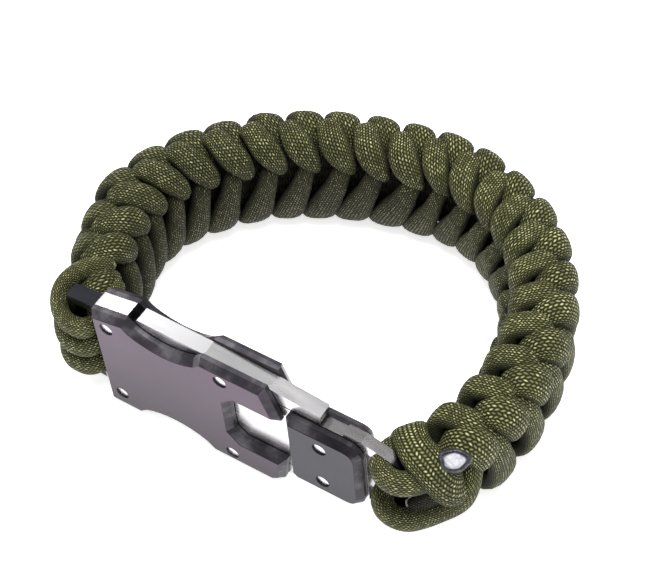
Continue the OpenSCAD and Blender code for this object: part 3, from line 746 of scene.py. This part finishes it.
# Middles of the bare cords from the clasp's own corner: along it, back from it and above its middle
CORNER = np.array([CLASP_X, CLASP_Y, SCALE_HALF_H])
LOOPS = {
    "left_loop_upper": [(-5.0, 8.6, 6.2), (-7.2, 5.8, 7.2), (-8.6, 3.2, 7.2), (-8.9, 0.6, 6.4),
                        (-7.6, -1.9, 5.1), (-5.2, -2.95, 4.4), (-2.9, -2.7, 4.2), (-1.7, -1.2, 4.3),
                        (-1.9, 1.5, 4.6), (-2.6, 4.6, 4.6), (-3.0, 7.0, 4.2)],
    "left_loop_middle": [(-6.6, 7.6, 1.8), (-8.6, 4.8, 1.6), (-9.3, 1.8, 1.0), (-8.6, -0.9, 0.2),
                         (-6.2, -2.85, -0.5), (-3.4, -2.85, -0.6), (-1.8, -1.2, -0.2), (-1.9, 1.5, 0.0),
                         (-2.6, 4.6, 0.2), (-3.0, 7.0, 0.4)],
    "left_loop_lower": [(-6.6, 7.6, -3.2), (-8.5, 4.8, -3.6), (-9.1, 1.8, -4.0), (-8.4, -0.9, -4.5),
                        (-6.2, -3.0, -5.0), (-3.4, -3.1, -5.2), (-1.9, -1.4, -5.0), (-1.9, 1.5, -4.7),
                        (-2.6, 4.6, -4.4), (-3.0, 7.0, -4.0)],
    "right_loop_upper": [(53.0, 6.6, 3.2), (51.6, 3.4, 4.6), (50.8, 0.6, 5.2), (51.4, -1.9, 5.3),
                         (53.4, -2.95, 5.3), (55.4, -2.7, 5.3), (57.0, -1.3, 4.9), (58.2, 1.0, 4.2),
                         (58.8, 3.6, 3.4)],
    "right_loop_lower": [(61.2, 7.6, 4.6), (61.9, 6.3, 3.2), (62.4, 5.0, 1.2), (62.2, 3.5, -0.7),
                         (61.1, 2.1, -2.4), (59.4, 0.5, -3.6), (57.5, -1.1, -4.4), (55.7, -2.5, -4.7),
                         (53.6, -3.0, -4.5), (51.7, -2.4, -3.9), (50.8, -0.4, -3.6), (51.3, 2.6, -3.4),
                         (52.6, 5.4, -3.2)]}
TIGHT_LOOPS = {"left_loop_upper": 0.86}    # a loop that is pulled thinner, by this share
CROSSING = [(52.4, 7.6, 1.2), (51.9, 6.0, 4.6), (53.0, 3.9, 7.2), (55.3, 1.8, 8.0), (57.6, 0.9, 7.4),
            (59.5, 0.5, 6.1), (60.8, 0.9, 4.3), (61.3, 2.2, 2.6), (61.0, 4.2, 1.4)]
INNER = [(60.8, 5.6, 0.6), (60.2, 3.3, 0.2), (59.0, 1.5, -0.6), (57.6, 0.3, -1.8), (56.4, -0.7, -3.2)]
CROSSING_HUB = np.array([56.0, 3.5, -1.0])
SWELL, SWELL_RATE = 0.03, 0.9   # a cord's size wavers by this share, at this many radians a millimetre
ROW_SAMPLES = 6


def bare_cord(name, rows, half_w, half_t, hub=None, roundness=2.1, material=END_CORD):
    """One bare cord along a smooth path; its flat side faces away from the hub, or else level.

    That side's normal is the unit vector from the hub to the path, or else square to the path and to the
    upright. Both half sizes are multiplied by 1 plus the swell times a sine of the running length.
    """
    path = smooth_rows(rows, ROW_SAMPLES * len(rows))[None]
    heading = unit(np.gradient(path, axis=1))
    normal = np.cross(heading, (0.0, 0.0, 1.0)) if hub is None else unit(path - hub)
    swell = 1 + SWELL * np.sin(running_length(path) * SWELL_RATE + len(rows))
    return strand_piece(name, path + CORNER, normal, half_w * swell, half_t * swell, material, roundness)


for loop, rows in LOOPS.items():
    tight = TIGHT_LOOPS.get(loop, 1.0)
    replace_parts(bare_cord(loop + "_cord", rows, tight * STRAND_W / 2, tight * STRAND_T / 2), loop)
bare_cord("crossing_strand", CROSSING, half_w=2.85, half_t=1.4, hub=CROSSING_HUB, roundness=2.8,
          material=CORD)
# Painted shade: this strand has the core's dark colour, standing for the shade by the right bail.
bare_cord("inner_strand_at_right_bail", INNER, half_w=1.9, half_t=1.4, hub=CROSSING_HUB, material=CORE)

# The melted cord end

MELTED_PLACE, MELTED_AXIS = np.array([61.0, 2.7, 8.5]), np.array([0.37, -0.53, 0.77])
# Radius and height, from the dome's middle over the rolled rim and down the shaft
MELTED_PROFILE = [(0.0, 0.7), (0.6, 0.7), (1.1, 0.58), (1.5, 0.3), (1.75, 0.0), (2.0, 0.12), (2.3, 0.0),
                  (2.5, -0.4), (2.4, -1.4), (2.1, -2.6), (1.2, -3.0)]
MELTED_RINGS, MELTED_SIDES = 31, 48
DOME_RINGS, DOME_R = 10, 1.75   # the rings of the white dome, and its radius
MELTED_FLAT = 0.72              # the end is narrower one way by this share
FOLD_HEIGHT, FOLD_R, FOLD_SPREAD = 0.10, 0.9, 0.5


def melted_piece():
    """The melted cord end: a wrinkled low dome, with a dark rolled rim and a short scorched shaft below it.

    It is the profile turned round the axis. Its radius wavers by 5% three times round and by 3% five times
    round. The folds over the dome are a sine of twice the angle plus five times the radius, which fades to
    both sides of one radius as a bell curve.
    """
    middle = CORNER + MELTED_PLACE
    axis = unit(MELTED_AXIS)
    x = unit(np.cross((0.0, 0.0, 1.0), axis))
    y = np.cross(axis, x)
    profile = smooth_rows(MELTED_PROFILE, MELTED_RINGS)
    radius, height = profile[1:, :1], profile[1:, 1:]
    a = np.linspace(0, 2 * math.pi, MELTED_SIDES + 1)[:-1]
    r = radius * (1 + 0.05 * np.sin(3 * a + 1) + 0.03 * np.cos(5 * a))
    fold = np.exp(-((radius - FOLD_R) / FOLD_SPREAD) ** 2)
    h = height + FOLD_HEIGHT * np.sin(2 * a + 5 * radius) * fold
    rings = (middle + x * (r * np.cos(a))[..., None] + y * (MELTED_FLAT * r * np.sin(a))[..., None]
             + axis * h[..., None])
    ends = [middle + axis * profile[0, 1], middle + axis * profile[-1, 1]]
    n, m = r.shape
    i, j = np.meshgrid(np.arange(n - 1), np.arange(m), indexing="ij")
    quads = np.stack([(i + di) * m + (j + dj) % m for di, dj in ALONG_FIRST], -1).reshape(-1, 4)
    j = np.arange(m)
    top = np.stack([np.full(m, n * m), j, (j + 1) % m], -1)
    bottom = np.stack([np.full(m, n * m + 1), (n - 1) * m + (j + 1) % m, (n - 1) * m + j], -1)
    out = np.concatenate([profile[1:DOME_RINGS + 1, 0] / DOME_R, np.linspace(1, 2, n - DOME_RINGS)])
    uv = np.stack([np.stack([out[i + di], 0 * out[i]], -1) for di, _ in ALONG_FIRST], -2).reshape(-1, 2)
    fan_uv = np.zeros((6 * m, 2))
    fan_uv[3 * m:, 0] = 2
    obj = mesh_piece("melted_end", np.concatenate([rings.reshape(-1, 3), ends]),
                     quads.tolist() + top.tolist() + bottom.tolist(), np.concatenate([uv, fan_uv]),
                     MELTED)
    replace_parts(obj, "melted_cord_end")


melted_piece()

# The table and the lights; their places and sizes are in metres

TABLE_HALF = 3
LIT_POINT = Vector((0.0, 0.0, 0.01))
# Name, place, size and watts
SOFTBOXES = (("top_softbox", (0.06, 0.0, 0.85), (0.5, 0.45), 8.0),
             ("left_softbox", (-0.55, 0.38, 0.68), (0.36, 0.36), 1.7),
             ("right_softbox", (0.75, -0.25, 0.4), (0.5, 0.4), 0.9),
             ("front_softbox", (-0.3, -0.8, 0.35), (0.6, 0.4), 0.25))
# The dome's strength at heights from the horizon to overhead, and the most that its ramp can hold
SKY, SKY_MOST = ((0.0, 0.2), (0.5, 0.32), (0.8, 0.5), (0.92, 1.2), (1.0, 2.6)), 3.0


def floor():
    """A plain white table."""
    mesh = bpy.data.meshes.new("table")
    corners = [(x * TABLE_HALF, y * TABLE_HALF, 0) for x, y in ((-1, -1), (1, -1), (1, 1), (-1, 1))]
    mesh.from_pydata(corners, [], [(0, 1, 2, 3)])
    obj = bpy.data.objects.new("table", mesh)
    bpy.context.scene.collection.objects.link(obj)
    material, _, socket = new_material("white_table")
    socket["Base Color"].default_value = (0.93, 0.93, 0.93, 1)
    socket["Roughness"].default_value = 0.9
    socket["Emission Color"].default_value = (1, 1, 1, 1)
    socket["Emission Strength"].default_value = 0.7
    mesh.materials.append(material)


def softbox(name, place, size, power):
    """A soft rectangular lamp that faces the bracelet."""
    data = bpy.data.lights.new(name, "AREA")
    data.shape = "RECTANGLE"
    data.size, data.size_y = size
    data.energy = power
    lamp = bpy.data.objects.new(name, data)
    bpy.context.scene.collection.objects.link(lamp)
    lamp.location = place
    lamp.rotation_euler = (Vector(place) - LIT_POINT).to_track_quat("Z", "Y").to_euler()


def studio_dome():
    """A soft white dome, dim near the horizon and bright overhead: its strength is a ramp of the height."""
    world = bpy.data.worlds.new("studio")
    world.use_nodes = True
    tree = world.node_tree
    height = axes(tree, coordinates(tree, "Generated"))["Z"]
    strength = ramp(tree, height, [(at, (v / SKY_MOST,) * 3) for at, v in SKY])
    background = tree.nodes["Background"].inputs
    background["Color"].default_value = (1, 1, 1, 1)
    link(tree, calc(tree, "MULTIPLY", strength, SKY_MOST), background["Strength"])
    return world


floor()
for lamp in SOFTBOXES:
    softbox(*lamp)
bpy.context.scene.world = studio_dome()
bpy.context.scene.view_settings.view_transform = "Standard"
